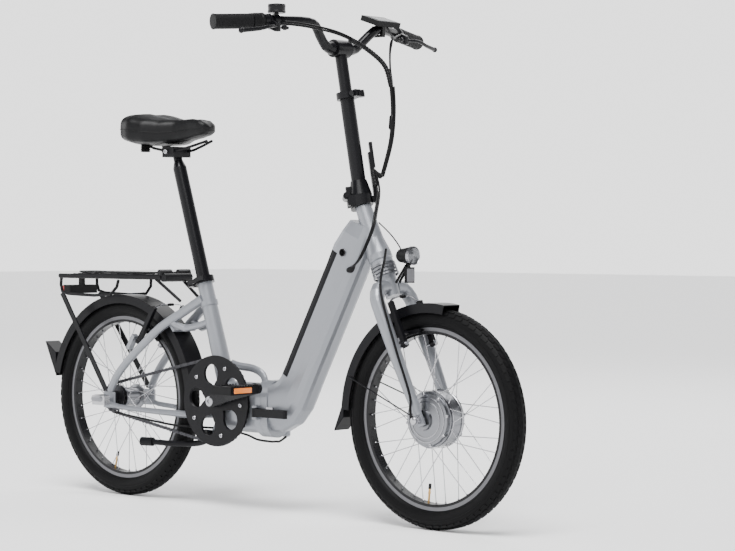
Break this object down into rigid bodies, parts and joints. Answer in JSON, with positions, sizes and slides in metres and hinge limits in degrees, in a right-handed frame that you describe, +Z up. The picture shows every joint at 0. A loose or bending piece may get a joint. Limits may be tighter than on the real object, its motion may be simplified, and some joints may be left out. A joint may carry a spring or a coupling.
{
  "type": "folding electric city bicycle",
  "caption": "Low-step folding city bicycle with small wheels, front hub motor, battery in the down tube, rack, mudguards, folding handlepost and folding pedals.",
  "frame": {"origin": "on the ground, midway between the rear flap's tip and the front of the front tyre, in the bicycle's middle plane", "axes": "+X forwards, +Y to the rider's left, +Z up"},
  "size_m": [1.5768, 0.715, 1.1879],
  "materials": {
    "frame_paint": "satin silver lacquer",
    "black_metal": "satin black lacquer",
    "bare_alloy": "polished",
    "steel": "bright",
    "dark_steel": "blackened",
    "tyre_rubber": "matt tread",
    "black_plastic": "matt",
    "grip_rubber": "soft matt",
    "saddle_cover": "matt",
    "cable_skin": "gloss",
    "lamp_body": "gloss, clear lens"
  },
  "bodies": {
    "rear_frame": {"seat_tube": "frame_paint", "rear_fold_half": "frame_paint", "rear_stays": "frame_paint", "fold_pin": "dark_steel", "rear_axle": "steel", "rack": "black_metal", "tail_light": "lamp_body", "rear_mudguard": "black_plastic", "seat_clamp": "black_metal", "chain": "dark_steel", "rear_cables": "cable_skin"},
    "kickstand": {"kickstand": "black_metal"},
    "seatpost": {"seatpost": "black_metal", "saddle_rails": "black_metal", "saddle": "saddle_cover"},
    "seat_lever": {"seat_lever": "black_metal"},
    "frame_lever": {"fold_lever": "black_metal"},
    "frame_latch": {"fold_latch": "bare_alloy"},
    "front_frame": {"front_frame": "frame_paint", "frame_cables": "cable_skin"},
    "battery": {"battery": "black_metal"},
    "lock_core": {"battery_lock": "bare_alloy"},
    "fork": {"fork": "frame_paint", "post_base": "black_metal", "front_axle": "steel", "front_mudguard": "black_plastic", "headlight": "lamp_body", "fork_cables": "cable_skin"},
    "post_lever": {"post_lever": "black_metal"},
    "lower_post": {"lower_post": "black_metal"},
    "post_clamp_lever": {"clamp_lever": "black_metal"},
    "upper_post": {"upper_post": "black_metal", "handlebar": "black_metal", "grips": "grip_rubber", "display": "black_plastic", "bell": "black_metal", "bar_cables": "cable_skin"},
    "bell_striker": {"bell_striker": "black_metal"},
    "twist_shifter": {"twist_shifter": "black_plastic"},
    "right_brake_lever": {"right_brake_lever": "black_metal"},
    "left_brake_lever": {"left_brake_lever": "black_metal"},
    "front_wheel": {"front_tyre": "tyre_rubber", "front_rim": "bare_alloy", "front_spokes": "steel", "motor": "bare_alloy"},
    "rear_wheel": {"rear_tyre": "tyre_rubber", "rear_rim": "bare_alloy", "rear_spokes": "steel", "rear_hub": "bare_alloy"},
    "cranks": {"cranks": "black_metal", "chainring": "black_plastic"},
    "sprocket": {"sprocket": "dark_steel"},
    "right_pedal_block": {"right_pedal_block": "black_plastic"},
    "right_pedal": {"right_pedal": "black_plastic"},
    "left_pedal_block": {"left_pedal_block": "black_plastic"},
    "left_pedal": {"left_pedal": "black_plastic"},
    "front_arm_right": {"front_brake_right": "black_metal"},
    "front_arm_left": {"front_brake_left": "black_metal"},
    "rear_arm_right": {"rear_brake_right": "black_metal"},
    "rear_arm_left": {"rear_brake_left": "black_metal"}
  },
  "joints": [
    {"name": "frame_fold", "type": "hinge", "parent": "rear_frame", "child": "front_frame", "pos_m": [0.0245, 0.05, 0.246], "axis": [0, 0, -1], "range_deg": [-150, 0], "deforming": ["rear_cables", "frame_cables"]},
    {"name": "frame_lever", "type": "hinge", "parent": "rear_frame", "child": "frame_lever", "pos_m": [0.0145, -0.049, 0.239], "axis": [0, 0, -1], "range_deg": [0, 100]},
    {"name": "frame_latch", "type": "slide", "parent": "frame_lever", "child": "frame_latch", "axis": [0, 0, -1], "range_m": [0, 0.0025], "stiffness_N_per_m": 300},
    {"name": "battery_slide", "type": "slide", "parent": "front_frame", "child": "battery", "axis": [-0.8794, 0, 0.476], "range_m": [0, 0.12]},
    {"name": "battery_lock", "type": "hinge", "parent": "front_frame", "child": "lock_core", "pos_m": [0.28744, 0, 0.62384], "axis": [0, 1, 0], "range_deg": [0, 90]},
    {"name": "steering", "type": "hinge", "parent": "front_frame", "child": "fork", "pos_m": [0.31757, 0, 0.72957], "axis": [0.4115, 0, -0.9114], "range_deg": [-80, 80], "deforming": ["frame_cables", "bar_cables"]},
    {"name": "front_wheel_spin", "type": "hinge", "parent": "fork", "child": "front_wheel", "pos_m": [0.5385, 0, 0.25], "axis": [0, 1, 0], "continuous": true},
    {"name": "post_lever", "type": "hinge", "parent": "fork", "child": "post_lever", "pos_m": [0.33548, 0.02404, 0.74772], "axis": [-0.6943, 0.7071, -0.1337], "range_deg": [0, 95]},
    {"name": "post_fold", "type": "hinge", "parent": "fork", "child": "lower_post", "pos_m": [0.28632, -0.02333, 0.7525], "axis": [0.6943, -0.7071, 0.1337], "range_deg": [0, 150], "deforming": ["bar_cables"]},
    {"name": "post_clamp_lever", "type": "hinge", "parent": "lower_post", "child": "post_clamp_lever", "pos_m": [0.29459, 0.02, 0.98629], "axis": [0.1891, 0, -0.982], "range_deg": [0, 95]},
    {"name": "post_height", "type": "slide", "parent": "lower_post", "child": "upper_post", "axis": [-0.1891, 0, 0.982], "range_m": [-0.06, 0.07], "deforming": ["bar_cables"]},
    {"name": "shifter_twist", "type": "hinge", "parent": "upper_post", "child": "twist_shifter", "pos_m": [0.22924, -0.21, 1.15062], "axis": [-0.3315, -0.9416, -0.0597], "range_deg": [-45, 45]},
    {"name": "right_brake_squeeze", "type": "hinge", "parent": "upper_post", "child": "right_brake_lever", "pos_m": [0.25459, -0.22118, 1.13379], "axis": [0, 0, -1], "range_deg": [0, 15], "stiffness_Nm_per_rad": 2},
    {"name": "left_brake_squeeze", "type": "hinge", "parent": "upper_post", "child": "left_brake_lever", "pos_m": [0.25459, 0.22118, 1.13379], "axis": [0, 0, 1], "range_deg": [0, 15], "stiffness_Nm_per_rad": 2},
    {"name": "bell_flick", "type": "hinge", "parent": "upper_post", "child": "bell_striker", "pos_m": [0.2231, -0.19735, 1.16898], "axis": [0, 0, 1], "range_deg": [0, 15], "stiffness_Nm_per_rad": 0.05},
    {"name": "crank_spin", "type": "hinge", "parent": "rear_frame", "child": "cranks", "pos_m": [-0.1185, 0, 0.26], "axis": [0, 1, 0], "continuous": true},
    {"name": "sprocket_spin", "type": "hinge", "parent": "rear_frame", "child": "sprocket", "pos_m": [-0.4885, 0, 0.25], "axis": [0, 1, 0], "continuous": true},
    {"name": "rear_wheel_spin", "type": "hinge", "parent": "rear_frame", "child": "rear_wheel", "pos_m": [-0.4885, 0, 0.25], "axis": [0, 1, 0], "continuous": true},
    {"name": "right_pedal_spin", "type": "hinge", "parent": "cranks", "child": "right_pedal_block", "pos_m": [0.0468, 0, 0.29969], "axis": [0, 1, 0], "continuous": true},
    {"name": "right_pedal_fold", "type": "hinge", "parent": "right_pedal_block", "child": "right_pedal", "pos_m": [0.0468, -0.11, 0.29969], "axis": [1, 0, 0], "range_deg": [-90, 0]},
    {"name": "left_pedal_spin", "type": "hinge", "parent": "cranks", "child": "left_pedal_block", "pos_m": [-0.2838, 0, 0.22031], "axis": [0, 1, 0], "continuous": true},
    {"name": "left_pedal_fold", "type": "hinge", "parent": "left_pedal_block", "child": "left_pedal", "pos_m": [-0.2838, 0.11, 0.22031], "axis": [-1, 0, 0], "range_deg": [-90, 0]},
    {"name": "kickstand_swing", "type": "hinge", "parent": "rear_frame", "child": "kickstand", "pos_m": [-0.1735, 0, 0.17], "axis": [-0.238, -0.9611, 0.14], "range_deg": [0, 91]},
    {"name": "seat_height", "type": "slide", "parent": "rear_frame", "child": "seatpost", "axis": [-0.3007, 0, 0.9537], "range_m": [-0.15, 0.04]},
    {"name": "seat_clamp_lever", "type": "hinge", "parent": "rear_frame", "child": "seat_lever", "pos_m": [-0.23578, -0.02, 0.53569], "axis": [0.3007, 0, -0.9537], "range_deg": [0, 95]},
    {"name": "front_right_arm", "type": "hinge", "parent": "fork", "child": "front_arm_right", "pos_m": [0.48877, -0.05, 0.41846], "axis": [0.9114, 0, 0.4115], "range_deg": [-3, 0]},
    {"name": "front_left_arm", "type": "hinge", "parent": "fork", "child": "front_arm_left", "pos_m": [0.48877, 0.05, 0.41846], "axis": [0.9114, 0, 0.4115], "range_deg": [0, 3], "deforming": ["fork_cables"]},
    {"name": "rear_right_arm", "type": "hinge", "parent": "rear_frame", "child": "rear_arm_right", "pos_m": [-0.39373, -0.05, 0.39593], "axis": [0.8387, 0, -0.5446], "range_deg": [-3, 0]},
    {"name": "rear_left_arm", "type": "hinge", "parent": "rear_frame", "child": "rear_arm_left", "pos_m": [-0.39373, 0.05, 0.39593], "axis": [0.8387, 0, -0.5446], "range_deg": [0, 3], "deforming": ["rear_cables"]}
  ],
  "couplings": [
    {"joint": "sprocket_spin", "follows": "crank_spin", "ratio": 2.8889},
    {"joint": "front_right_arm", "follows": "left_brake_squeeze", "ratio": -0.2},
    {"joint": "front_left_arm", "follows": "left_brake_squeeze", "ratio": 0.2},
    {"joint": "rear_right_arm", "follows": "right_brake_squeeze", "ratio": -0.2},
    {"joint": "rear_left_arm", "follows": "right_brake_squeeze", "ratio": 0.2}
  ]
}
